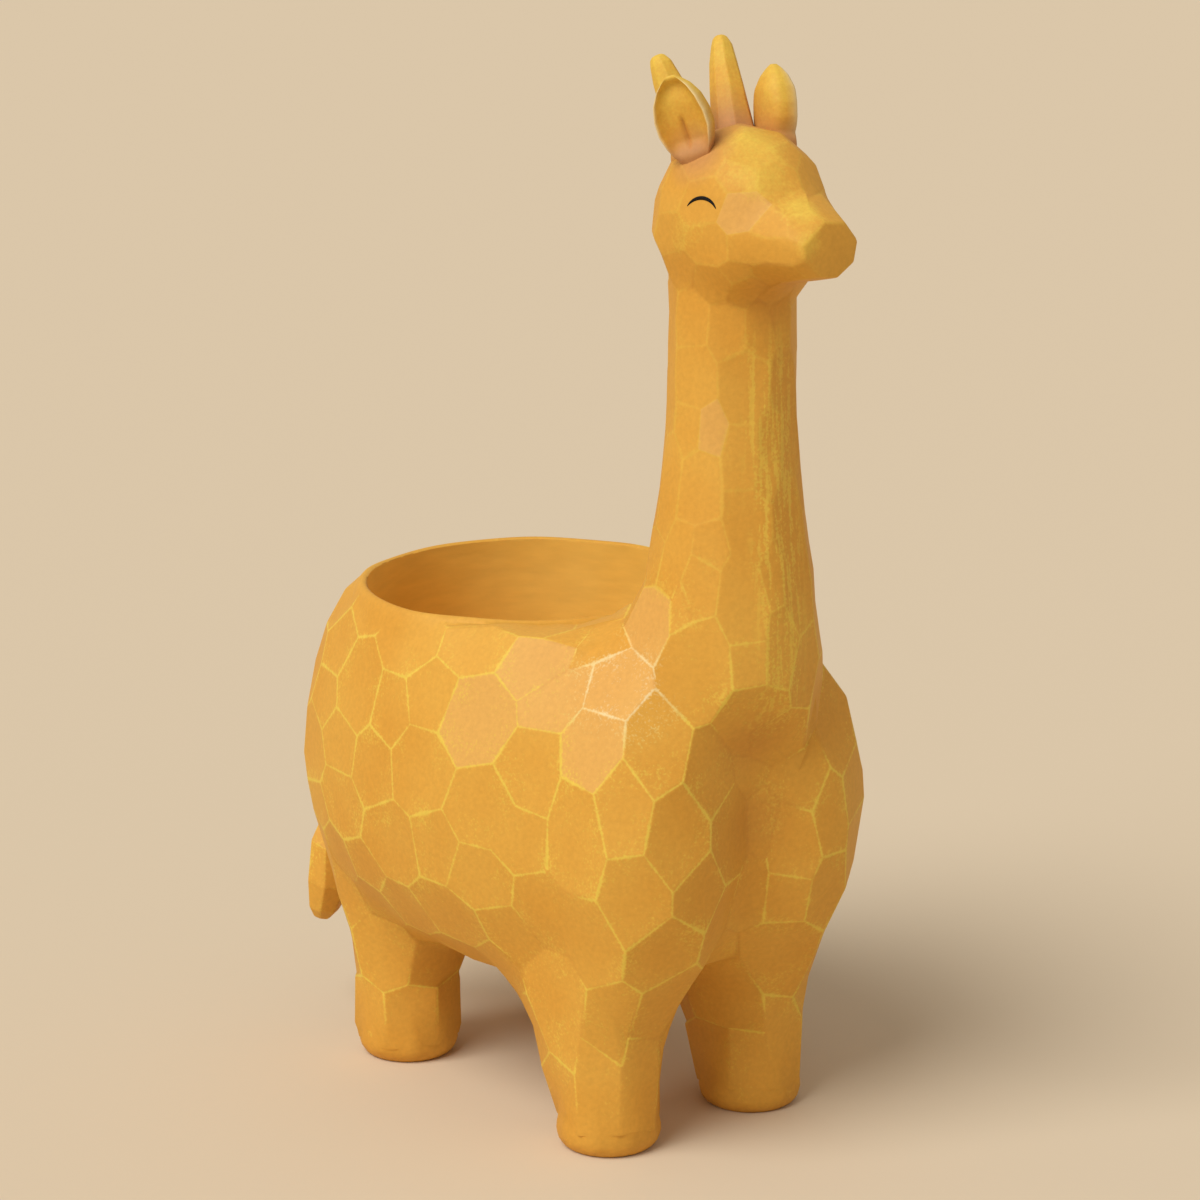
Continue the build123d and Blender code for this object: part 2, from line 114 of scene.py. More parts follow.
def surfaceOf(mesh):
    return BVHTree.FromPolygons([v.co for v in mesh.vertices], [p.vertices for p in mesh.polygons])


def addNode(tree, kind, inputs=(), **settings):
    made = tree.nodes.new(kind)
    for key, value in settings.items():
        setattr(made, key, value)
    for key, value in dict(inputs).items():
        if isinstance(value, bpy.types.NodeSocket):
            tree.links.new(value, made.inputs[key])
        else:
            made.inputs[key].default_value = value
    return made


def fromAxis(co, axis):
    return np.hypot(co[:, 0] - axis[0], co[:, 1] - axis[1])


def nearness(co, middle, reach):
    return np.exp(-((co - np.array(middle)) ** 2).sum(1) / (2 * reach ** 2))


def smoothStep(low, high, value):
    t = np.clip((value - low) / (high - low), 0, 1)
    return t * t * (3 - 2 * t)


def finishPiece(obj, node, body):
    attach(obj, body)
    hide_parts(node)
    print(obj.name, "is in place,", len(obj.data.polygons), "faces")


# finishes

resinSet = {
    "ochre": (0.730, 0.384, 0.055, 1),
    "deepOchre": (0.690, 0.332, 0.040, 1),
    "paleOchre": (0.760, 0.430, 0.140, 1),
    "lemon": (0.790, 0.545, 0.075, 1),
    "cream": (0.830, 0.640, 0.330, 1),
    "wash": (0.500, 0.230, 0.095, 1),
    # painted shade for the concave creases, the groove of the ear and the hollows under the chest and the jaw
    "creaseShade": (0.520, 0.200, 0.028, 1),
    "deepShare": 0.16,  # of the deep ochre on the darker facets
    "paleShare": 0.42,  # of the pale ochre on the pale facets
    "lineFrom": (1.58, 2.22),  # paint on the ridges, from bare to full
    "dustFrom": (1.02, 1.22),  # specks beside the ridges, from bare to full
    "dustShare": 0.5,
    "rubFrom": (1.05, 1.75),  # rubbed paint, from bare to full
    "rubShare": 0.8,
    # how strongly the painted shade darkens the concave creases
    "creaseShadeShare": 0.2,
    "neckFade": (112 * mm, 150 * mm),  # heights between which the lines grow thin
    "neckShare": 0.24,
    "headFade": (200 * mm, 210 * mm),
    "headLess": -0.04,
    "roughness": 0.62,
    "grainScale": 900.0,
    "speckScale": 1700.0,
    "patchScale": 130.0,
    "broadScale": 34.0,
    "streakScale": 800.0,
    "streakFront": (-64 * mm, -60 * mm),  # the streaks lie ahead of this
    "streakSides": ((-9 * mm, -5 * mm), (4 * mm, 8 * mm)),  # where they fade in and out
    "streakHeights": ((100 * mm, 112 * mm), (185 * mm, 198 * mm)),
    "bump": 0.2,
    "bumpDepth": 0.25 * mm,
    "creamAt": (-28 * mm, -47 * mm, 114 * mm),  # lines round this place are rubbed nearly white
    "creamReach": 17 * mm,
    "paintedShadeAndRootWash": [  # middle, reach, share and colour: painted shade in the hollow under the chest, in the valley below it and under the jaw, and a brown wash of glue round the roots of the horns and ears
        ((-4 * mm, -66 * mm, 99 * mm), 11 * mm, 0.40, "creaseShade"),
        ((0, -62 * mm, 80 * mm), 11 * mm, 0.35, "creaseShade"),
        ((-2 * mm, -71 * mm, 202 * mm), 11 * mm, 0.30, "creaseShade"),
        ((0, -48 * mm, 236 * mm), 13 * mm, 0.6, "wash"),
        ((-11 * mm, -54 * mm, 232 * mm), 9 * mm, 0.6, "wash"),
        ((11 * mm, -54 * mm, 232 * mm), 9 * mm, 0.6, "wash"),
    ],
    # the inside of the bowl is painted lighter than the outer resin: painted light that makes up for the
    # shade inside the bowl
    "bowlLitOchre": (0.89, 0.558, 0.11, 1),
    "bowlLitDeepOchre": (0.845, 0.50, 0.085, 1),
}


class Shader:
    # a short way to add nodes and links to one material

    def __init__(self, name):
        self.material = bpy.data.materials.new(name)
        self.material.use_nodes = True
        self.tree = self.material.node_tree
        self.surface = self.tree.nodes["Principled BSDF"]

    def node(self, kind, inputs=(), **settings):
        return addNode(self.tree, kind, inputs, **settings)

    def maths(self, operation, *values):
        return self.node("ShaderNodeMath", dict(enumerate(values)), operation=operation).outputs[0]

    def noise(self, place, scale, detail=2.0):
        inputs = {"Vector": place, "Scale": scale, "Detail": detail}
        return self.node("ShaderNodeTexNoise", inputs).outputs["Fac"]

    def between(self, value, low, high, bottom=0.0, top=1.0):
        settings = {"Value": value, "From Min": low, "From Max": high, "To Min": bottom, "To Max": top}
        return self.node("ShaderNodeMapRange", settings, clamp=True).outputs[0]

    def mix(self, share, first, second):
        inputs = {0: share, 6: first, 7: second}
        return self.node("ShaderNodeMix", inputs, data_type="RGBA", clamp_factor=True).outputs[2]

    def distance(self, place, spot):
        inputs = {0: place, 1: spot}
        return self.node("ShaderNodeVectorMath", inputs, operation="DISTANCE").outputs["Value"]

    def attribute(self, name):
        return self.node("ShaderNodeAttribute", attribute_name=name).outputs["Fac"]


def resinFinish(name, paintedRidges=True):
    s = resinSet
    shader = Shader(name)
    place = shader.node("ShaderNodeTexCoord").outputs["Object"]
    strokes = (1, 1, 1) if paintedRidges else (0.12, 0.12, 0.5)  # the bowl is brushed round and round
    stretched = shader.node("ShaderNodeMapping", {"Vector": place, "Scale": strokes}).outputs[0]
    broad = shader.noise(place, s["broadScale"], 3.0)
    grain = shader.noise(stretched, s["grainScale"], 4.0)
    # the bowl takes the lighter ochres, painted light against the shade inside it
    deep, light = (s["deepOchre"], s["ochre"]) if paintedRidges else (s["bowlLitDeepOchre"], s["bowlLitOchre"])
    colour = shader.mix(shader.between(broad, 0.35, 0.65), deep, light)
    if paintedRidges:
        colour = ridgePaint(shader, place, colour)
    shade = shader.between(grain, 0.3, 0.7, 0.94, 1.04)
    colour = shader.node("ShaderNodeVectorMath", {0: colour, 1: shade}, operation="MULTIPLY").outputs[0]
    shader.tree.links.new(colour, shader.surface.inputs["Base Color"])
    shader.surface.inputs["Roughness"].default_value = s["roughness"]
    shader.surface.inputs["Specular IOR Level"].default_value = 0.3
    bump = shader.node("ShaderNodeBump", {"Height": grain, "Strength": s["bump"], "Distance": s["bumpDepth"]})
    shader.tree.links.new(bump.outputs[0], shader.surface.inputs["Normal"])
    return shader.material


def ridgePaint(shader, place, colour):
    # pale facets, dry-brushed ridges, specks, the rough streaks down the front of the neck, and painted shade
    # in the creases and hollows
    s = resinSet
    tone, near = shader.attribute("tone"), shader.attribute("near")
    ridge, creaseShade = shader.attribute("ridge"), shader.attribute("creaseShade")
    speck = shader.noise(place, s["speckScale"], 2.0)
    patch = shader.noise(place, s["patchScale"], 2.0)
    side, front, height = shader.node("ShaderNodeSeparateXYZ", {0: place}).outputs
    away = shader.distance(place, s["creamAt"])
    whiter = shader.between(away, 0.4 * s["creamReach"], s["creamReach"], 1.0, 0.0)
    brush = shader.mix(whiter, s["lemon"], s["cream"])
    lower = shader.between(height, *s["neckFade"], 1.0, s["neckShare"])
    thinning = shader.maths("ADD", lower, shader.between(height, *s["headFade"], 0.0, s["headLess"]))
    colour = shader.mix(shader.between(tone, 0.1, 0.8, 0.0, s["deepShare"]), colour, s["deepOchre"])
    colour = shader.mix(shader.between(tone, 0.82, 1.0, 0.0, s["paleShare"]), colour, s["paleOchre"])
    dust = shader.maths("MULTIPLY_ADD", near, 0.20, speck)
    dust = shader.maths("MULTIPLY_ADD", patch, 0.6, dust)
    dust = shader.maths("MULTIPLY", shader.between(dust, *s["dustFrom"], 0.0, s["dustShare"]), lower)
    colour = shader.mix(dust, colour, brush)
    line = shader.maths("ADD", speck, ridge)
    line = shader.maths("MULTIPLY_ADD", patch, 1.5, line)
    line = shader.maths("MULTIPLY", shader.between(line, *s["lineFrom"]), thinning)
    colour = shader.mix(line, colour, brush)
    rubbed = shader.attribute("rub")
    rub = shader.maths("MULTIPLY_ADD", patch, 0.9, rubbed)
    rub = shader.maths("MULTIPLY_ADD", speck, 0.7, rub)
    rub = shader.between(rub, *s["rubFrom"], 0.0, s["rubShare"])
    rub = shader.maths("MULTIPLY", rub, shader.between(rubbed, 0.0, 0.2))
    colour = shader.mix(rub, colour, s["lemon"])
    stain = shader.maths("MULTIPLY", shader.attribute("wash"), shader.between(patch, 0.3, 0.6, 0.35, 0.9))
    colour = shader.mix(stain, colour, s["wash"])
    colour = shader.mix(shader.maths("MULTIPLY", shader.attribute("rim"), 0.9), colour, s["cream"])
    tall = shader.node("ShaderNodeMapping", {"Vector": place, "Scale": (1, 1, 0.06)}).outputs[0]
    streak = shader.maths("MULTIPLY_ADD", speck, 0.5, shader.noise(tall, s["streakScale"], 3.0))
    strip = shader.between(front, *s["streakFront"], 1.0, 0.0)
    for value, (fadeIn, fadeOut) in ((side, s["streakSides"]), (height, s["streakHeights"])):
        strip = shader.maths("MULTIPLY", strip, shader.between(value, *fadeIn))
        strip = shader.maths("MULTIPLY", strip, shader.between(value, *fadeOut, 1.0, 0.0))
    # painted shade in the hollow under the chest, the valley below it and under the jaw, and a brown wash of
    # glue round the roots
    for middle, reach, share, paint in s["paintedShadeAndRootWash"]:
        away = shader.distance(place, middle)
        colour = shader.mix(shader.between(away, 0.35 * reach, reach, share, 0.0), colour, s[paint])
    rough = shader.maths("MULTIPLY", shader.between(streak, 0.74, 0.86, 0.0, 0.65), strip)
    colour = shader.mix(rough, colour, s["lemon"])
    # painted shade along the concave creases and in the groove of the ear
    return shader.mix(shader.maths("MULTIPLY", creaseShade, s["creaseShadeShare"]), colour, s["creaseShade"])


def plainFinish(name, colour, roughness):
    shader = Shader(name)
    shader.surface.inputs["Base Color"].default_value = colour
    shader.surface.inputs["Roughness"].default_value = roughness
    shader.surface.inputs["Specular IOR Level"].default_value = 0.2
    return shader.material


paintedResin = resinFinish("painted resin")
bowlResin = resinFinish("bowl resin", False)
eyePaint = plainFinish("eye paint", (0.006, 0.005, 0.005, 1), 0.8)
plugRubber = plainFinish("plug rubber", (0.045, 0.035, 0.03, 1), 0.7)


# the planting bowl, shared by the filler and the cutter

bowlSet = {
    "centre": (-0.115 * mm, 20.672 * mm),
    "floor": 44 * mm,
    "rim": 122 * mm,
    "mouth": 40 * mm,
    "swell": 3.2 * mm,  # wider below the mouth
    "foot": 37 * mm,
    "corner": 12 * mm,  # round between the floor and the wall
    "clearAbove": 32 * mm,
    # outside of the lip: radius, and drop below the rim, in millimetres
    "lip": [(45.6, 16), (45.2, 11), (44.1, 6), (43.0, 2.6), (42.3, 1.0), (41.7, 0.3), (41.0, 0), (40.4, 0.2)],
    "lipWave": 0.4 * mm,
    "lipRise": 1.0 * mm,  # at the far side
    "drain": 5 * mm,
    "belly": 33 * mm,
}


def bowlProfile(grow):
    s = bowlSet
    flat, floor = s["foot"] - s["corner"], s["floor"] - grow
    turns = [pi / 2 * i / 6 for i in range(7)]
    rows = [(flat + (s["corner"] + grow) * sin(a), floor + s["corner"] * (1 - cos(a))) for a in turns]
    start = floor + s["corner"]
    for i in range(1, 13):
        share = i / 12
        straight = s["foot"] + (s["mouth"] - s["foot"]) * share
        rows.append((straight + s["swell"] * sin(pi * share) + grow, start + (s["rim"] - start) * share))
    return rows


# the casting

castingSet = {
    "voxel": 1.4 * mm,
    "smoothSteps": 12,
    # height, and share of the smoothing there
    "ease": [(0, 0.3), (0.012, 1.0), (0.188, 1.0), (0.198, 0.3), (0.26, 0.35)],
    "jawLift": 0.8 * mm,  # the jaw is cut back above the neck
    "jawOut": (13.9 * mm, 15.2 * mm),  # from the axis of the neck
    "jawBottom": 0.197,
    "jawFade": (0.205, 0.218),
    "jawBack": (-80 * mm, -66 * mm),
    "dents": [  # middle, reach and depth of the hollow under the chest
        ((-9 * mm, -68 * mm, 101 * mm), 5.5 * mm, 4.5 * mm),
        ((0, -69 * mm, 99 * mm), 6 * mm, 4.5 * mm),
        ((-3 * mm, -66 * mm, 91 * mm), 5 * mm, 3 * mm),
    ],
    "crisp": [  # middle, reach and share: the hollow under the chest, the nose and the throat
        ((-3 * mm, -66 * mm, 95 * mm), 14 * mm, 0.1),
        ((0, -82 * mm, 214 * mm), 9 * mm, 0.0),
        ((0, -70 * mm, 203 * mm), 9 * mm, 0.0),
    ],
    "facetReach": 13.2 * mm,  # no place is farther than this from the middle of a facet
    "bend": 7 * mm,  # a full turn of the surface counts as this much way
    "wider": [(0.112, 0.150, 0.9), (0.192, 0.208, 0.1)],  # heights from and to, and share: neck, head
    "legSlope": 0.66,  # cuts run long down the legs
    "taller": [(0.030, 0.045, 0.34), (0.125, 0.150, 0.35), (0.192, 0.205, 0.65)],
    "soleBelow": 7 * mm,
    "soleLean": -0.55,
    "seed": 5,
    "neckAxis": (0, -51.9 * mm),
    "finer": [  # middle, reach and strength of the places with smaller facets
        ((0, -74.7 * mm, 84 * mm), 16 * mm, 0.7),
    ],
    "skull": ((-0.1 * mm, -54.3 * mm, 219.5 * mm), (16.9 * mm, 19.1 * mm, 17.7 * mm)),
    "softness": 0.06,  # pull of the smooth form on a facet's corners
    # height, and how far a corner may move there
    "reach": [(0, 4.5 * mm), (0.008, 3.5 * mm), (0.02, 1.8 * mm), (0.045, 1.5 * mm), (0.065, 2.4 * mm),
              (0.19, 2.4 * mm), (0.20, 1.0 * mm)],
    "muzzle": -72 * mm,  # ahead of this a corner may move farther
    "muzzleReach": 2.6 * mm,
    "shortest": 1.7 * mm,  # shorter facet edges are closed up
    "ridge": 0.74 * mm,  # half width of a painted ridge
    "ridgeAngle": 5,  # degrees, flatter edges stay plain
    "topDrop": 1.7 * mm,  # flat top of the casting below the lip
    "topOut": 42.5 * mm,  # facets this near to the bowl's axis, and this high, are levelled
    "topAbove": 116 * mm,
    "bellyOut": 17 * mm,  # and so are those round the drain hole
    "bellyBelow": 42 * mm,
    "soleAt": 4 * mm,  # and those under the feet
    # height, and share of the smooth form's light there
    "wear": [(0, 0.92), (0.006, 0.92), (0.012, 0.08), (0.11, 0.08), (0.15, 0.12), (0.19, 0.12),
             (0.198, 0.1), (0.209, 0.1), (0.215, 0.4), (0.26, 0.4)],
}


# middles of the knife cuts that show from the front quarter, in millimetres
cutSet = {
    "flank": [(-38, 59, 100), (-43, 39, 109), (-34, 50, 118), (-43, 27, 121), (-44, 13, 115), (-39, -9, 119),
        (-30, -27, 122), (-48, 15, 103), (-49, 29, 87), (-44, 52, 80), (-51, 1, 87), (-47, -22, 82),
        (-41, -33, 95), (-18, -62, 121), (-27, -60, 102), (-37, -55, 89), (-41, -46, 81), (-25, -65, 84),
        (-51, 10, 68), (-49, 34, 71), (-48, -16, 65), (-40, -36, 61), (-46, -5, 54), (-46, 12, 51),
        (-41, 31, 47), (-39, 46, 43), (-41, 53, 55)],
    "chest": [(10, -64, 88), (-14, -63, 96), (-6, -64, 101), (3, -65, 98), (-7, -70, 110), (-9, -70, 119),
        (0, -72, 119), (8, -71, 112), (24, -62, 99), (17, -67, 81), (28, -63, 81), (7, -62, 75)],
    "legs": [(-35, 38, 26), (-34, 43, 10), (-29, 32, 10), (-18, 31, 10), (-22, 30, 30), (-36, -14, 42),
        (-36, -33, 36), (-37, -26, 28), (-34, -48, 41), (-34, -58, 63), (-24, -62, 56), (-17, -65, 68),
        (-25, -54, 40), (-31, -44, 11), (-35, -33, 12), (-25, -48, 12), (-16, -46, 12), (9, -36, 12),
        (12, -55, 43), (8, -43, 34), (14, -45, 12), (22, -48, 12), (10, -62, 62), (21, -64, 60),
        (3, -58, 64)],
    "soles": [(-22, -35, 0), (22, -35, 0), (-22, 44, 0), (27, 38, 0)],
    "neck": [(-14, -53, 195), (-11, -61, 195), (-5, -65, 195), (2, -66, 195), (9, -63, 195), (-15, -51, 173),
        (-8, -64, 166), (-15, -58, 157), (-16, -48, 154), (-2, -67, 170), (4, -66, 169), (-16, -60, 140),
        (-18, -46, 140), (-10, -67, 137), (-8, -66, 152), (-4, -70, 141), (5, -69, 139)],
    "head": [(-16, -59, 223), (-17, -49, 224), (-5, -76, 223), (-11, -67, 229), (-4, -71, 229),
        (-7, -64, 233), (0, -69, 233), (5, -72, 227), (-15, -57, 231), (-17, -50, 215), (-17, -60, 214),
        (-12, -71, 214), (-15, -51, 207), (-15, -60, 207), (-14, -67, 208), (-8, -74, 208), (0, -70, 204)],
    "nose": [(-10, -79, 214), (-6, -80, 220), (1, -80, 221), (7, -80, 219), (0, -84, 214), (9, -80, 213),
        (6, -80, 207), (-1, -79, 206)],
    "pale": [(-37, -47, 104), (-27, -47, 117), (-21, -47, 128), (-35, -28, 116), (-34, -34, 111),
        (-45, -15, 104), (-13, -69, 221), (-13, -60, 174)],
}


def castingBlank():
    # the solid form with its bowl filled, blended smooth
    s = castingSet
    bm = bmesh.new()
    bm.from_mesh(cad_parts["body_casting"].data)
    bmesh.ops.remove_doubles(bm, verts=bm.verts, dist=0.01 * mm)
    bm.from_mesh(lathe("bowlFiller", bowlProfile(0.7 * mm), bowlSet["centre"]))
    drain = [(6 * mm, bowlSet["belly"]), (6 * mm, bowlSet["floor"] + mm)]
    bm.from_mesh(lathe("drainFiller", drain, bowlSet["centre"], 24))
    middle, half = s["skull"]
    inside = Matrix.Translation(middle) @ Matrix.Diagonal((*half, 1))
    bmesh.ops.create_icosphere(bm, subdivisions=4, radius=1, matrix=inside)
    blank = newObject("castingBlank", meshOf("castingBlank", bm))
    remesh = blank.modifiers.new("remesh", "REMESH")
    remesh.mode = "VOXEL"
    remesh.voxel_size = s["voxel"]
    bakeModifiers(blank)
    co = points(blank.data)
    out = fromAxis(co, s["neckAxis"])
    jaw = smoothStep(*s["jawOut"], out) * (1 - smoothStep(*s["jawFade"], co[:, 2]))
    jaw = jaw * (co[:, 2] > s["jawBottom"])
    co[:, 2] += s["jawLift"] * jaw * smoothStep(*s["jawBack"], co[:, 1])
    for middle, reach, depth in s["dents"]:
        co[:, 1] += depth * nearness(co, middle, reach)
    blank.data.vertices.foreach_set("co", co.astype(np.float32).ravel())
    ease = np.interp(co[:, 2], *zip(*s["ease"]))
    for middle, reach, share in s["crisp"]:
        ease *= 1 - (1 - share) * nearness(co, middle, reach)
    group = blank.vertex_groups.new(name="ease")
    for i, weight in enumerate(ease):
        group.add([i], float(weight), "REPLACE")
    smooth = blank.modifiers.new("smooth", "SMOOTH")
    smooth.factor = 0.5
    smooth.iterations = s["smoothSteps"]
    smooth.vertex_group = "ease"
    bakeModifiers(blank)
    print("casting blank:", len(blank.data.vertices), "points")
    return blank


def spreadOut(co):
    # places in which every facet is equally large: the neck is widened and the head enlarged
    s = castingSet
    z = co[:, 2]
    across = np.ones(len(z))
    for low, high, more in s["wider"]:
        across += more * smoothStep(low, high, z)
    steps = np.linspace(0, 0.30, 301)
    slope = np.full(len(steps), s["legSlope"])
    for low, high, more in s["taller"]:
        slope += more * smoothStep(low, high, steps)
    climb = np.concatenate([[0], np.cumsum((slope[1:] + slope[:-1]) / 2 * np.diff(steps))])
    up = np.interp(z, steps, climb)
    spread = np.column_stack([(co[:, :2] - np.array(s["neckAxis"])) * across[:, None], up])
    for middle, reach, strength in s["finer"]:
        spread += (co - np.array(middle)) * strength * nearness(co, middle, reach)[:, None]
    return spread


def facetMiddles(spread, normals, known):
    # after the known cuts, each new middle is the place that is farthest from all the others
    s = castingSet
    place = np.column_stack([spread, normals * s["bend"]])
    left = np.full(len(place), np.inf)
    middles = np.zeros(len(place), bool)
    middles[known] = True
    for i in known:
        left = np.minimum(left, ((place - place[i]) ** 2).sum(1))
    while left.max() > s["facetReach"] ** 2:
        i = int(left.argmax())
        middles[i] = True
        left = np.minimum(left, ((place - place[i]) ** 2).sum(1))
    return middles


def whittleTree():
    # every point of the form walks over the surface to its nearest facet middle, each patch shrinks to one
    # point, and the dual of the net that is left has one polygon for each patch
    tree = bpy.data.node_groups.new("whittled facets", "GeometryNodeTree")
    for name, kind in (("Form", "Geometry"), ("Bend", "Float"), ("Seed", "Int"), ("Finish", "Material")):
        tree.interface.new_socket(name, in_out="INPUT", socket_type="NodeSocket" + kind)
    tree.interface.new_socket("Facets", in_out="OUTPUT", socket_type="NodeSocketGeometry")

    def node(kind, inputs=(), **settings):
        return addNode(tree, kind, inputs, **settings)

    def named(name, kind="FLOAT_VECTOR"):
        return node("GeometryNodeInputNamedAttribute", {"Name": name}, data_type=kind).outputs[0]

    def atIndex(value, index, kind="FLOAT_VECTOR"):
        inputs = {"Value": value, "Index": index}
        return node("GeometryNodeFieldAtIndex", inputs, data_type=kind, domain="POINT").outputs[0]

    def store(geometry, name, value, kind="FLOAT_VECTOR"):
        inputs = {"Geometry": geometry, "Name": name, "Value": value}
        return node("GeometryNodeStoreNamedAttribute", inputs, data_type=kind, domain="POINT").outputs[0]

    def total(value, group):
        inputs = {"Value": value, "Group ID": group}
        made = node("GeometryNodeAccumulateField", inputs, data_type="FLOAT_VECTOR", domain="POINT")
        return made.outputs["Total"]

    def vectors(operation, first, second, out=0):
        return node("ShaderNodeVectorMath", {0: first, 1: second}, operation=operation).outputs[out]

    given = node("NodeGroupInput").outputs
    form = node("GeometryNodeTriangulate", {"Mesh": given["Form"]}).outputs[0]
    ends = node("GeometryNodeInputMeshEdgeVertices").outputs
    way = vectors("DISTANCE", atIndex(named("spread"), ends[0]), atIndex(named("spread"), ends[1]), 1)
    turn = vectors("DISTANCE", atIndex(named("lean"), ends[0]), atIndex(named("lean"), ends[1]), 1)
    cost = node("ShaderNodeMath", {0: turn, 1: given["Bend"], 2: way}, operation="MULTIPLY_ADD").outputs[0]
    inputs = {"End Vertex": named("middle", "BOOLEAN"), "Edge Cost": cost}
    goal = node("GeometryNodeInputShortestEdgePaths", inputs).outputs["Next Vertex Index"]
    for i in range(7):  # each round doubles the steps that a point has walked
        goal = atIndex(goal, goal, "INT")
    held = store(form, "goal", goal, "INT")
    goal = named("goal", "INT")
    chance = node("FunctionNodeRandomValue", {"ID": goal, "Seed": given["Seed"]}, data_type="FLOAT")
    place = node("GeometryNodeInputPosition").outputs[0]
    amount = vectors("LENGTH", total((1.0, 0.0, 0.0), goal), (0, 0, 0), 1)
    share = node("ShaderNodeMath", {0: 1.0, 1: amount}, operation="DIVIDE").outputs[0]
    inputs = {0: total(place, goal), "Scale": share}
    middle = node("ShaderNodeVectorMath", inputs, operation="SCALE").outputs[0]
    patches = store(held, "home", middle)
    lean = vectors("NORMALIZE", total(named("lean"), goal), (0, 0, 0))
    patches = store(patches, "facing", lean)
    quiet = node("ShaderNodeMath", {0: chance.outputs[1], 1: 0.8}, operation="MULTIPLY").outputs[0]
    pale = atIndex(named("pale", "FLOAT"), goal, "FLOAT")
    tone = node("ShaderNodeMath", {0: quiet, 1: pale}, operation="MAXIMUM").outputs[0]
    patches = store(patches, "tone", tone, "FLOAT")
    shrunk = node("GeometryNodeSetPosition", {"Geometry": patches, "Position": named("home")}).outputs[0]
    net = node("GeometryNodeMergeByDistance", {"Geometry": shrunk, "Distance": 0.01 * mm}).outputs[0]
    facets = node("GeometryNodeDualMesh", {"Mesh": net}).outputs[0]
    real = node("GeometryNodeRealizeInstances", {"Geometry": facets}).outputs[0]
    done = node("GeometryNodeSetMaterial", {"Geometry": real, "Material": given["Finish"]}).outputs[0]
    node("NodeGroupOutput", {"Facets": done})
    return tree


def whittle(blank):
    s = castingSet
    co = points(blank.data)
    flat = np.zeros(len(co) * 3, np.float32)
    blank.data.vertices.foreach_get("normal", flat)
    normals = flat.reshape(-1, 3).astype(float)
    low = co[:, 2] < s["soleBelow"]  # a worn foot counts as an upright side and a level sole
    sole = low & (normals[:, 2] < s["soleLean"])
    normals[low & ~sole, 2] = 0
    normals[sole] = (0, 0, -1)
    normals /= np.linalg.norm(normals, axis=1, keepdims=True)
    nearest = {}
    for name, spots in cutSet.items():
        nearest[name] = [int(((co - np.array(spot) * mm) ** 2).sum(1).argmin()) for spot in spots]
    pale = np.zeros(len(co))
    pale[nearest["pale"]] = 1
    writeAttribute(blank.data, "pale", pale)
    spread = spreadOut(co)
    writeAttribute(blank.data, "spread", spread)
    writeAttribute(blank.data, "lean", normals)
    middle = blank.data.attributes.new("middle", "BOOLEAN", "POINT")
    middle.data.foreach_set("value", facetMiddles(spread, normals, sorted(set(sum(nearest.values(), [])))))
    facets = newObject("casting", blank.data.copy())
    modifier = facets.modifiers.new("whittle", "NODES")
    modifier.node_group = whittleTree()
    inputs = {"Bend": s["bend"], "Seed": s["seed"], "Finish": paintedResin}
    for item in modifier.node_group.interface.items_tree:
        if item.name in inputs:
            modifier[item.identifier] = inputs[item.name]
    bakeModifiers(facets)
    print("casting:", len(facets.data.polygons), "facets")
    return facets


footSet = {
    "places": [(-22.1, -35.3), (21.9, -35.3), (-22.1, 43.7), (26.9, 37.7)],  # millimetres
    "around": 18 * mm,
    "grow": 0.10,
    "growHeight": 8 * mm,
    "sides": 26,
    # radius and height in millimetres
    "ring": [(20.5, -2), (20.5, 10), (14.8, 10), (13.0, 6), (12.4, 3.4), (12.0, 1.9), (11.2, 0.7),
             (10.2, 0.1), (9.9, -2)],
    "stump": [(10.1, 0), (11.1, 0.7), (11.9, 1.9), (12.3, 3.4), (12.2, 5), (11.8, 7), (10.5, 10), (8, 12)],
}


def flattenFacets(mesh, blank):
    # each corner goes to where the planes of its facets meet
    s = castingSet
    homes, leans = readAttribute(mesh, "home"), readAttribute(mesh, "facing")
    leans /= np.linalg.norm(leans, axis=1, keepdims=True)
    fromBowl = fromAxis(homes, bowlSet["centre"])

    def level(which, height, up):
        homes[which, 2] = height
        leans[which] = (0, 0, up)

    height, up = homes[:, 2].copy(), leans[:, 2].copy()
    level((fromBowl < s["topOut"]) & (height > s["topAbove"]) & (up > 0.75), bowlSet["rim"] - s["topDrop"], 1)
    level((fromBowl < s["bellyOut"]) & (height < s["bellyBelow"]) & (up < -0.7), bowlSet["belly"], -1)
    level((height < s["soleAt"]) & (up < -0.5), 0, -1)
    near = surfaceOf(blank.data)
    anchors = np.array([near.find_nearest(v.co)[0] for v in mesh.vertices])
    corner = np.zeros(len(mesh.loops), np.int32)
    mesh.loops.foreach_get("vertex_index", corner)
    owner = np.repeat(np.arange(len(mesh.polygons)), [p.loop_total for p in mesh.polygons])
    pull = np.tile(np.eye(3) * s["softness"], (len(anchors), 1, 1))
    aim = anchors * s["softness"]
    n = leans[owner]
    np.add.at(pull, corner, n[:, :, None] * n[:, None, :])
    np.add.at(aim, corner, n * (n * homes[owner]).sum(1)[:, None])
    meet = np.linalg.solve(pull, aim[:, :, None])[:, :, 0]
    move = meet - anchors
    length = np.linalg.norm(move, axis=1, keepdims=True)
    reach = np.interp(anchors[:, 2], *zip(*s["reach"]))[:, None]
    reach[anchors[:, 1] < s["muzzle"]] = s["muzzleReach"]
    meet = anchors + move * np.minimum(1, reach / np.maximum(length, 1e-9))
    meet[:, 2] = np.maximum(meet[:, 2], 0)
    for place in footSet["places"]:  # feet are left thick, and then worn round
        out = meet[:, :2] - np.array(place) * mm
        close = np.hypot(out[:, 0], out[:, 1]) < footSet["around"]
        grow = footSet["grow"] * (1 - smoothStep(0, footSet["growHeight"], meet[:, 2])) * close
        meet[:, :2] += out * grow[:, None]
    mesh.vertices.foreach_set("co", meet.astype(np.float32).ravel())
    mesh.update()


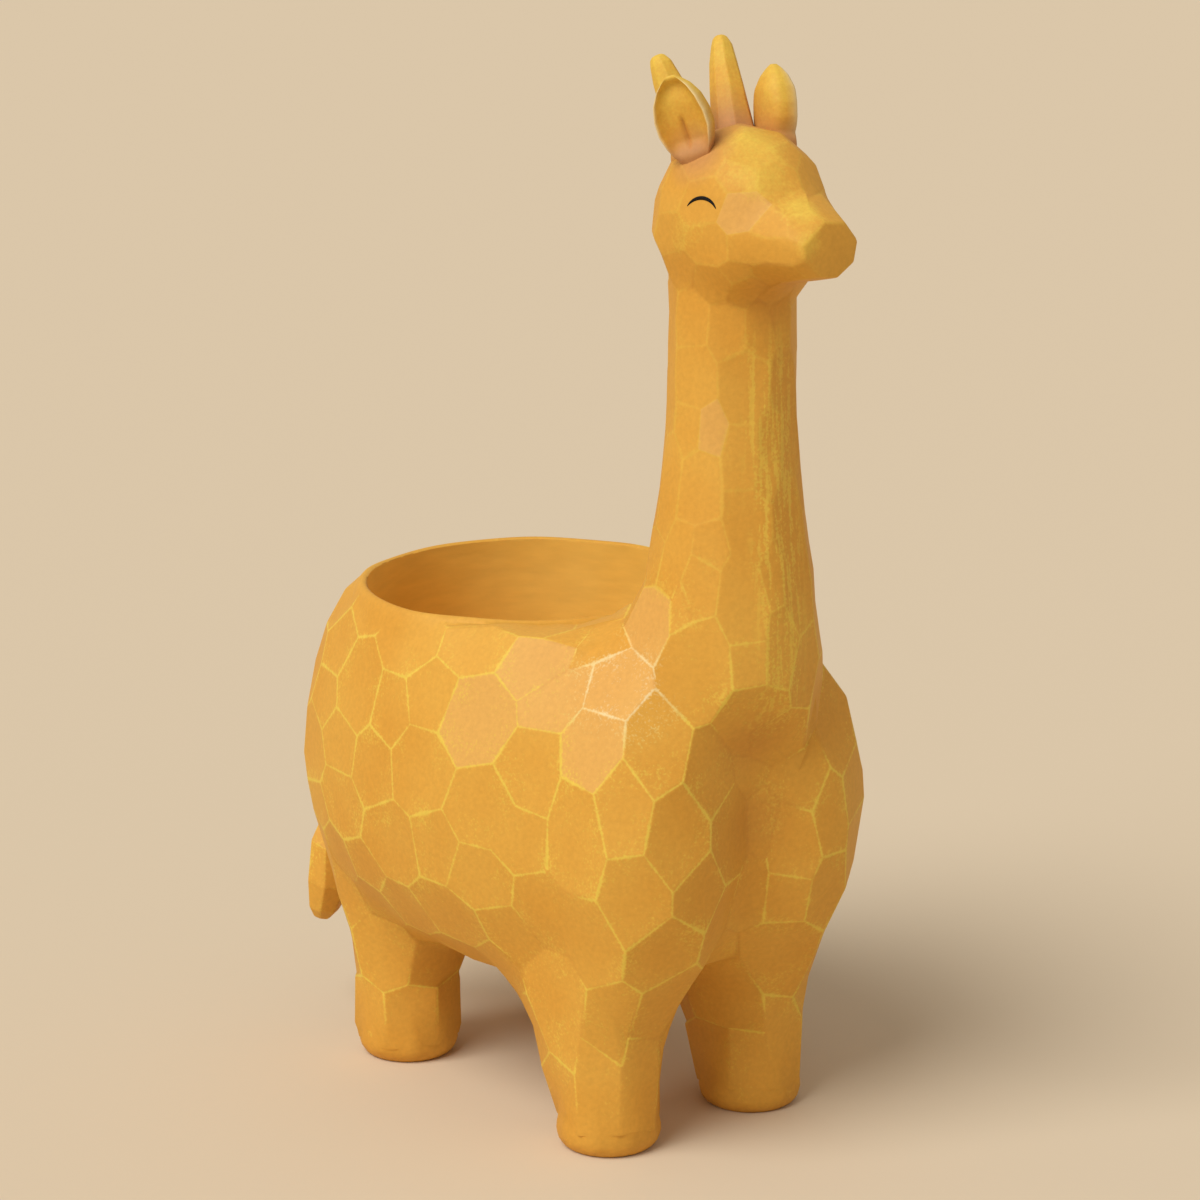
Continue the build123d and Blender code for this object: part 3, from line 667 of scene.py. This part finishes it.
def lipRing():
    # the smooth round lip that stands a little above the facets
    s = bowlSet
    inner, rim = s["mouth"] - mm, s["rim"]
    rows = [(r * mm, rim - drop * mm) for r, drop in s["lip"]]
    rows = [(inner, rim - 18 * mm)] + rows + [(inner, rim - mm)]
    turns = [2 * pi * i / 120 for i in range(120)]
    x, y = s["centre"]

    def wave(a):
        # the lip was trued by hand
        uneven = 0.5 * sin(3 * a + 0.7) + 0.4 * sin(5 * a + 2) + 0.25 * sin(9 * a)
        return s["lipWave"] * uneven + s["lipRise"] * max(0, cos(a - 0.9))

    rings = [[(x + r * cos(a), y + r * sin(a), h + wave(a)) for a in turns] for r, h in rows]
    bm = bmesh.new()
    bm.from_mesh(skin("lipRing", rings + rings[:1], False, False))
    bmesh.ops.remove_doubles(bm, verts=bm.verts, dist=0.001 * mm)
    bmesh.ops.recalc_face_normals(bm, faces=bm.faces)
    ring = newObject("lipRing", meshOf("lipRing", bm))
    for finish in (paintedResin, bowlResin):
        ring.data.materials.append(finish)
    return ring


def footCutter():
    # a ring round each foot that wears its corners and the edge of its sole round
    s = footSet
    bm = bmesh.new()
    turns = [2 * pi * i / s["sides"] for i in range(s["sides"])]
    for x, y in s["places"]:
        rings = []
        for r, h in s["ring"]:
            rings.append([((x + r * cos(a)) * mm, (y + r * sin(a)) * mm, h * mm) for a in turns])
        bm.from_mesh(skin("footRing", rings + rings[:1], False, False))
    bmesh.ops.remove_doubles(bm, verts=bm.verts, dist=0.001 * mm)
    bmesh.ops.recalc_face_normals(bm, faces=bm.faces)
    return newObject("footCutter", meshOf("footCutter", bm))


def footStumps():
    # a round foot fills the corners that the knife left short
    s = footSet
    bm = bmesh.new()
    for x, y in s["places"]:
        bm.from_mesh(lathe("stump", [(r * mm, h * mm) for r, h in s["stump"]], (x * mm, y * mm), s["sides"]))
    stumps = newObject("footStumps", meshOf("footStumps", bm))
    stumps.data.materials.append(paintedResin)
    return stumps


def bowlCutter():
    s = bowlSet
    bm = bmesh.new()
    inside = bowlProfile(0) + [(s["mouth"], s["rim"] + s["clearAbove"])]
    bm.from_mesh(lathe("bowl", inside, s["centre"], 120))
    for face in bm.faces:
        face.material_index = 1
    hole = [(s["drain"], s["belly"] - 6 * mm), (s["drain"], s["floor"] + 3 * mm)]
    bm.from_mesh(lathe("drain", hole, s["centre"], 40))
    cutter = newObject("bowlCutter", meshOf("bowlCutter", bm))
    cutter.data.materials.append(paintedResin)
    cutter.data.materials.append(bowlResin)
    return cutter


def combine(obj, cutter, operation):
    boolean = obj.modifiers.new("combine", "BOOLEAN")
    boolean.operation = operation
    boolean.solver = "EXACT"
    boolean.object = cutter
    bakeModifiers(obj)
    bpy.data.objects.remove(cutter)


def tidyFacets(mesh):
    s = castingSet
    bm = bmesh.new()
    bm.from_mesh(mesh)
    bmesh.ops.remove_doubles(bm, verts=bm.verts, dist=s["shortest"])
    bmesh.ops.dissolve_limit(bm, angle_limit=radians(2), verts=bm.verts, edges=bm.edges, delimit={"MATERIAL"})
    bmesh.ops.recalc_face_normals(bm, faces=bm.faces)
    loose = [e for e in bm.edges if len(e.link_faces) != 2]
    print("casting: open edges", len(loose))
    bm.to_mesh(mesh)
    bm.free()


def paintRidges(mesh, halfWidth, leastAngle):
    # narrow rounded strips along the edges carry the paint: the dry-brushed lines on the raised edges,
    # painted shade on the sunken ones
    bm = bmesh.new()
    bm.from_mesh(mesh)
    ridge = bm.verts.layers.float.new("ridge")
    creaseShade = bm.verts.layers.float.new("creaseShade")
    near = bm.verts.layers.float.new("near")
    sharp = []
    for e in bm.edges:
        facing = [f for f in e.link_faces if f.material_index == 0]
        if len(facing) == 2 and abs(e.calc_face_angle(0)) > radians(leastAngle):
            sharp.append(e)
    made = bmesh.ops.bevel(bm, geom=sharp, offset=halfWidth, offset_type="OFFSET", segments=2, profile=0.5,
                           affect="EDGES", clamp_overlap=False, loop_slide=True, material=-1)
    strips = set(made["faces"])
    bm.normal_update()
    for v in bm.verts:
        v[near] = 1
        if v.link_faces and all(f in strips for f in v.link_faces):
            around = sum((e.other_vert(v).co - v.co for e in v.link_edges), Vector()) / len(v.link_edges)
            # raised strips take the lines, sunken strips take painted shade
            v[ridge if around.dot(v.normal) < 0 else creaseShade] = 1
    plain = [f for f in bm.faces if f not in strips and f.material_index == 0 and len(f.verts) > 3]
    for v in bmesh.ops.poke(bm, faces=plain, center_mode="MEAN")["verts"]:
        v[near] = 0
    for f in bm.faces:
        f.smooth = True
    bm.to_mesh(mesh)
    bm.free()


def evenShading(obj):
    # wide facets keep their own light, and the narrow strips turn it
    weighted = obj.modifiers.new("evenShading", "WEIGHTED_NORMAL")
    weighted.weight = 100
    bakeModifiers(obj)


def bowlFacing(co):
    # the way the turned wall of the bowl faces
    s = bowlSet
    start = s["floor"] + s["corner"]
    tall = s["rim"] - start
    share = np.clip((co[:, 2] - start) / tall, 0, 1)
    flare = (s["mouth"] - s["foot"] + s["swell"] * pi * np.cos(pi * share)) / tall
    away = co[:, :2] - np.array(s["centre"])
    away /= np.linalg.norm(away, axis=1, keepdims=True)
    return np.column_stack([-away, flare])


def softenShading(obj, blank):
    # the light of the smooth form is mixed in, most of all on the head, where the cuts are worn
    s = castingSet
    tree = KDTree(len(blank.data.vertices))
    for v in blank.data.vertices:
        tree.insert(v.co, v.index)
    tree.balance()
    mesh = obj.data
    smooth = np.array([blank.data.vertices[tree.find(v.co)[1]].normal for v in mesh.vertices])
    corner = np.zeros(len(mesh.loops), np.int32)
    mesh.loops.foreach_get("vertex_index", corner)
    sharp = np.zeros(len(mesh.loops) * 3, np.float32)
    mesh.corner_normals.foreach_get("vector", sharp)
    outside = np.repeat([p.material_index == 0 for p in mesh.polygons], [p.loop_total for p in mesh.polygons])
    co = points(mesh)[corner]
    share = np.interp(co[:, 2], *zip(*s["wear"])) * outside
    mixed = sharp.reshape(-1, 3) * (1 - share)[:, None] + smooth[corner] * share[:, None]
    wall = ~outside & (co[:, 2] > bowlSet["floor"] + bowlSet["corner"])
    mixed[wall] = bowlFacing(co[wall])
    mixed /= np.linalg.norm(mixed, axis=1, keepdims=True)
    mesh.normals_split_custom_set(mixed.astype(np.float32))


def quietPaint(mesh):
    # the lip of the bowl and the worn soles carry no lines
    co = points(mesh)
    fromBowl = fromAxis(co, bowlSet["centre"]) - bowlSet["mouth"]
    lip = (co[:, 2] > bowlSet["rim"] - 6 * mm) & (co[:, 2] < bowlSet["rim"] + mm)
    keep = np.where(lip, smoothStep(1.5 * mm, 4 * mm, fromBowl), 1) * smoothStep(5 * mm, 10 * mm, co[:, 2])
    for name in ("ridge", "near"):
        writeAttribute(mesh, name, readAttribute(mesh, name, 1) * keep)


def rubHead(mesh):
    # lemon paint is rubbed over the brow, the top of the head and the ridge of the nose
    co = points(mesh)
    rub = np.zeros(len(co))
    for spot, reach in headSet["rubbed"]:
        rub = np.maximum(rub, 1 - np.linalg.norm(co - np.array(spot) * mm, axis=1) / (reach * mm))
    writeAttribute(mesh, "rub", np.maximum(rub, 0))


headSet = {
    # spot and reach in millimetres
    "rubbed": [((-4, -63, 235), 11), ((-8, -70, 228), 8), ((-4, -78, 223), 8), ((-6, -83, 215), 6),
               ((-15, -54, 216), 6)],
}

blank = castingBlank()
casting = whittle(blank)
flattenFacets(casting.data, blank)
tidyFacets(casting.data)
casting.data.materials.append(bowlResin)
paintRidges(casting.data, castingSet["ridge"], castingSet["ridgeAngle"])
combine(casting, footCutter(), "DIFFERENCE")
combine(casting, footStumps(), "UNION")
combine(casting, lipRing(), "UNION")
combine(casting, bowlCutter(), "DIFFERENCE")
casting.data.shade_smooth()
evenShading(casting)
softenShading(casting, blank)
quietPaint(casting.data)
rubHead(casting.data)
bpy.data.objects.remove(blank)
finishPiece(casting, "body_casting", "planter")


# horns

hornSet = {
    "roots": {"horn_right": (-5.75 * mm, -45.77 * mm, 232.11 * mm),
              "horn_left": (5.52 * mm, -45.77 * mm, 232.11 * mm)},
    "lengths": {"horn_right": 22.8 * mm, "horn_left": 26.2 * mm},
    "sunk": 3 * mm,
    "recline": -24.5,  # degrees
    "lean": 10,
    "sides": 8,
    # share of the length, and radius in millimetres
    "profile": [(0.0, 6.6), (0.12, 6.5), (0.2, 5.6), (0.38, 4.9), (0.58, 4.2), (0.78, 3.4), (0.92, 2.7),
                (0.98, 1.9), (1.0, 1.1)],
    "wander": 0.06,
    "ridge": 0.35 * mm,
}


def seatMatrix(root, recline, lean, facing=0):
    turn = Matrix.Rotation(radians(recline), 4, "X") @ Matrix.Rotation(radians(lean), 4, "Y")
    return Matrix.Translation(root) @ turn @ Matrix.Rotation(radians(facing), 4, "Z")


def paintAlong(mesh, seat, length):
    # a brown wash of glue and paint round the root, and a rubbed tip
    up = np.array([(seat.inverted() @ v.co).z for v in mesh.vertices]) / length
    writeAttribute(mesh, "wash", 1 - smoothStep(0.05, 0.36, up))
    writeAttribute(mesh, "rub", 0.35 + smoothStep(0.3, 1.0, up) * 0.5)


def makeHorn(node, side):
    s = hornSet
    chance = np.random.default_rng(20 + side)
    length = s["lengths"][node]
    seat = seatMatrix(s["roots"][node], s["recline"], side * s["lean"])
    edge = 1 + chance.uniform(-1, 1, s["sides"]) * 0.08
    rings = []
    for share, radius in s["profile"]:
        up = -s["sunk"] + share * (length + s["sunk"])
        ring = []
        for i in range(s["sides"]):
            turn = 2 * pi * (i + 0.3) / s["sides"]
            out = radius * mm * edge[i] * (1 + chance.uniform(-1, 1) * s["wander"])
            ring.append(seat @ Vector((out * cos(turn), out * sin(turn), up)))
        rings.append(ring)
    horn = newObject(node + "_carved", skin(node, rings))
    writeAttribute(horn.data, "tone", chance.uniform(0, 0.8, len(horn.data.polygons)), "FACE")
    horn.data.materials.append(paintedResin)
    paintRidges(horn.data, s["ridge"], 6)
    evenShading(horn)
    paintAlong(horn.data, seat, length)
    finishPiece(horn, node, "planter")


for node, side in (("horn_right", -1), ("horn_left", 1)):
    makeHorn(node, side)


# ears

earSet = {
    "roots": {"ear_right": (-11.47 * mm, -52.74 * mm, 231.1 * mm),
              "ear_left": (11.24 * mm, -52.74 * mm, 231.1 * mm)},
    "facings": {"ear_right": -58, "ear_left": 74},  # degrees
    "leans": {"ear_right": -16, "ear_left": 6},
    "length": 19.5 * mm,
    "sunk": 2.5 * mm,
    "recline": -10,
    "halfWidth": 6.3 * mm,
    "back": 4.0 * mm,
    "rim": 2.9 * mm,  # how far the edge of the cup stands forward
    "cup": 2.7 * mm,
    "groove": 0.9 * mm,
    "lumps": 0.10,  # of the glued root
    "rootWidths": {"ear_right": 0.55, "ear_left": 0.95},
    "widths": [(0.3, 0.84), (0.45, 1.0), (0.6, 1.0), (0.76, 0.86), (0.88, 0.62), (0.96, 0.34), (1, 0.14)],
    "rings": 44,
    "around": 72,
}


def makeEar(node, side):
    s = earSet
    chance = np.random.default_rng(30 + side)
    seat = seatMatrix(s["roots"][node], s["recline"], s["leans"][node], s["facings"][node])
    rings, rim, grooveShade = [], [], []
    for j in range(s["rings"]):
        share = j / (s["rings"] - 1)
        up = -s["sunk"] + share * (s["length"] + s["sunk"])
        wide = float(np.interp(share, *zip((0.12, s["rootWidths"][node]), *s["widths"])))
        thick = min(1, wide * 1.1)
        cupShare = float(smoothStep(0.18, 0.36, share) * smoothStep(1.0, 0.88, share))
        grooveShare = float(smoothStep(0.24, 0.30, share) * smoothStep(0.62, 0.50, share))
        lumps = s["lumps"] * float(smoothStep(0.24, 0.10, share))
        ring = []
        for i in range(s["around"]):
            turn = 2 * pi * i / s["around"]
            across, depth = cos(turn), sin(turn)
            line = exp(-((across + 0.08) / 0.07) ** 2) * (depth < 0) * grooveShare
            if depth >= 0:
                back = s["back"] * thick * depth ** 0.8
            else:
                edge = min(1, -depth / 0.38)
                hollow = max(0, 1 - (across / 0.88) ** 4)
                back = -s["rim"] * thick * edge + cupShare * (s["cup"] * hollow + s["groove"] * line)
            swell = 1 + lumps * (sin(3 * turn + 5 * share) + 0.6 * chance.uniform(-1, 1))
            ring.append(seat @ Vector((across * wide * s["halfWidth"] * swell, back * swell, up)))
            rim.append(exp(-((abs(across) - 0.92) / 0.05) ** 2) * (depth < 0) * cupShare)
            grooveShade.append(line)
        rings.append(ring)
    ear = newObject(node + "_carved", skin(node, rings))
    writeAttribute(ear.data, "rim", np.array(rim))
    # the groove in the cup is painted darker: painted shade
    writeAttribute(ear.data, "creaseShade", np.array(grooveShade) * 4)
    ear.data.materials.append(paintedResin)
    ear.data.shade_smooth()
    paintAlong(ear.data, seat, s["length"])
    finishPiece(ear, node, "planter")


for node, side in (("ear_right", -1), ("ear_left", 1)):
    makeEar(node, side)


# tail

tailSet = {
    "root": (-18.11 * mm, 72.76 * mm, 60.5 * mm),
    "length": 37 * mm,
    "halfWidth": 7.0 * mm,
    "halfDepth": 6.5 * mm,
    "trail": 11,  # degrees
    "sway": 8,
    "sides": 7,
    "levels": [0.02, 0.16, 0.42, 0.70, 0.90, 0.975],
    "wander": 0.06,
    "paint": 0.55,  # share of the ridge paint
    "ridge": 0.4 * mm,
}


def makeTail():
    s = tailSet
    chance = np.random.default_rng(4)
    seat = seatMatrix(s["root"], s["trail"], s["sway"])
    rings = []
    for level in s["levels"]:
        full = (4 * level * (1 - level)) ** 0.5
        ring = []
        for i in range(s["sides"]):
            turn = 2 * pi * (i + 0.35 * (level > 0.5)) / s["sides"]
            out = full * (1 + chance.uniform(-1, 1) * s["wander"])
            ring.append(seat @ Vector((s["halfWidth"] * out * cos(turn), s["halfDepth"] * out * sin(turn),
                                       -s["length"] * level)))
        rings.append(ring)
    tail = newObject("tail_carved", skin("tail", rings))
    writeAttribute(tail.data, "tone", chance.uniform(0, 1, len(tail.data.polygons)), "FACE")
    tail.data.materials.append(paintedResin)
    paintRidges(tail.data, s["ridge"], 6)
    writeAttribute(tail.data, "ridge", readAttribute(tail.data, "ridge", 1) * s["paint"])
    evenShading(tail)
    finishPiece(tail, "tail", "planter")


makeTail()


# eyes

eyeSet = {
    "places": {"eye_line_right": -1, "eye_line_left": 1},
    "middle": (15.785 * mm, -60.058 * mm, 222.344 * mm),  # on the left side, measured from the middle plane
    "outward": (0.9502, -0.2698, 0.156),
    "midPlane": -0.115 * mm,
    "shift": (-0.6 * mm, 0.5 * mm),  # back along the cheek, and up
    "halfWidth": 3.9 * mm,
    "rise": 2.3 * mm,
    "thick": 0.46 * mm,
    "sunk": 0.15 * mm,
}


def eyeLine(node, side):
    # a smile turned over: a tapered tube that follows the carved cheek
    s = eyeSet
    cheek = surfaceOf(casting.data)
    middle = Vector((s["midPlane"] + side * s["middle"][0], *s["middle"][1:]))
    outward = Vector((side * s["outward"][0], *s["outward"][1:])).normalized()
    along = Vector((0, 0, 1)).cross(outward).normalized()
    up = outward.cross(along)
    middle = middle + along * side * -s["shift"][0] + up * s["shift"][1]
    radius = (s["halfWidth"] ** 2 + s["rise"] ** 2) / (2 * s["rise"])
    sweepAngle = float(np.arcsin(s["halfWidth"] / radius))
    rings = []
    for j in range(33):
        share = j / 32
        turn = sweepAngle * (2 * share - 1)
        spot = middle + along * radius * sin(turn) + up * (radius * (cos(turn) - 1) + s["rise"] / 2)
        hit = cheek.ray_cast(spot + outward * 6 * mm, -outward)[0]
        spot = (hit or spot) - outward * s["sunk"]
        thick = s["thick"] * (0.22 + 0.78 * sin(pi * share) ** 0.7)
        radial = along * sin(turn) + up * cos(turn)
        rings.append([spot + thick * (radial * cos(a) + outward * sin(a)) for a in
                      [2 * pi * i / 12 for i in range(12)]])
    return newObject(node + "_painted", skin(node, rings))


for node, side in eyeSet["places"].items():
    eye = eyeLine(node, side)
    eye.data.materials.append(eyePaint)
    eye.data.shade_smooth()
    finishPiece(eye, node, "planter")


# drain plug

plugSet = {
    "stem": 4.9 * mm,
    "tip": 45.5 * mm,
    "flange": 8.5 * mm,
    "flangeThick": 2 * mm,
    "lip": 0.6 * mm,  # round edge of the flange
    "clear": 0.02 * mm,  # between the flange and the belly
    "tabHalfWidth": 4 * mm,
    "tabDrop": 5 * mm,
    "tabThick": 2.6 * mm,
}


def makePlug():
    s = plugSet
    under, tip = bowlSet["belly"], s["tip"]
    bottom = under - s["flangeThick"]
    lip, top = s["lip"], under - s["clear"]
    profile = [(s["flange"] - lip, bottom), (s["flange"], bottom + lip), (s["flange"], under - lip),
               (s["flange"] - lip, top), (s["stem"], top), (s["stem"], tip - mm), (s["stem"] - mm, tip)]
    plug = newObject("drain_plug_moulded", lathe("plug", profile, bowlSet["centre"], 48))
    x, y = bowlSet["centre"]
    drop = s["tabDrop"] - s["tabHalfWidth"]
    arc = [pi + pi * i / 16 for i in range(17)]
    outline = [(s["tabHalfWidth"], 0.5 * mm), (-s["tabHalfWidth"], 0.5 * mm)]
    outline += [(s["tabHalfWidth"] * cos(a), -drop + s["tabHalfWidth"] * sin(a)) for a in arc]
    half = s["tabThick"] / 2
    sides = [[(x + u, y + depth, bottom + v) for u, v in outline] for depth in (-half, half)]
    tab = newObject("plugTab", skin("plugTab", sides))
    combine(plug, tab, "UNION")
    bevel = plug.modifiers.new("softEdges", "BEVEL")
    bevel.width = 0.4 * mm
    bevel.segments = 2
    bevel.limit_method = "ANGLE"
    bevel.angle_limit = radians(50)
    bakeModifiers(plug)
    plug.data.materials.clear()
    plug.data.materials.append(plugRubber)
    plug.data.shade_smooth()
    evenShading(plug)
    finishPiece(plug, "drain_plug", "plug")


makePlug()


# stage, lights and camera

stageSet = {
    "floor": (0.70, 0.58, 0.42, 1),
    "floorHalf": 9.0,
    "keyFrom": (-1.1, -0.1, 1.25),  # direction that the soft key light comes from
    "keySpread": 40,  # degrees
    "keyStrength": 2.4,
    "world": (1.0, 0.93, 0.84, 1),
    "worldStrength": 0.43,
    "backdrop": (0.70, 0.58, 0.40, 1),  # seen past the far edge of the floor
}

cameraSet = {
    "place": (-533.5 * mm, -658.66 * mm, 329.9 * mm),
    "azimuth": -39.22,
    "pitch": 13.87,
    "lens": 110.14,
}


def studio():
    s = stageSet
    half = s["floorHalf"]
    floorMesh = bpy.data.meshes.new("floor")
    corners = [(-half, -half, 0), (half, -half, 0), (half, half, 0), (-half, half, 0)]
    floorMesh.from_pydata(corners, [], [(0, 1, 2, 3)])
    floor = newObject("floor", floorMesh)
    floorMesh.materials.append(plainFinish("floor paper", s["floor"], 0.9))
    lamp = bpy.data.lights.new("key", "SUN")
    lamp.angle = radians(s["keySpread"])
    lamp.energy = s["keyStrength"]
    key = newObject("key", lamp)
    key.rotation_euler = Vector(s["keyFrom"]).to_track_quat("Z", "Y").to_euler()
    scene.world = bpy.data.worlds.new("studio")
    scene.world.use_nodes = True
    tree = scene.world.node_tree
    light = tree.nodes["Background"]
    light.inputs["Color"].default_value = s["world"]
    light.inputs["Strength"].default_value = s["worldStrength"]
    backdrop = addNode(tree, "ShaderNodeBackground", {"Color": s["backdrop"]})
    rays = addNode(tree, "ShaderNodeLightPath").outputs
    seen = rays["Is Camera Ray"]
    for kind in ("Is Glossy Ray", "Is Transmission Ray"):
        seen = addNode(tree, "ShaderNodeMath", {0: seen, 1: rays[kind]}, operation="MAXIMUM").outputs[0]
    inputs = {0: seen, 1: light.outputs[0], 2: backdrop.outputs[0]}
    mixed = addNode(tree, "ShaderNodeMixShader", inputs)
    tree.links.new(mixed.outputs[0], tree.nodes["World Output"].inputs["Surface"])


def photoCamera():
    s = cameraSet
    lens = bpy.data.cameras.new("camera")
    lens.lens = s["lens"]
    lens.sensor_width = 36
    lens.sensor_fit = "HORIZONTAL"
    lens.clip_end = 30
    camera = newObject("camera", lens)
    turn, tilt = radians(s["azimuth"]), radians(s["pitch"])
    back = Vector((sin(turn) * cos(tilt), -cos(turn) * cos(tilt), sin(tilt)))
    right = Vector((cos(turn), sin(turn), 0))
    up = back.cross(right)
    camera.matrix_world = Matrix.Translation(s["place"]) @ Matrix((right, up, back)).transposed().to_4x4()
    scene.camera = camera


studio()
photoCamera()
scene.view_settings.view_transform = "Standard"
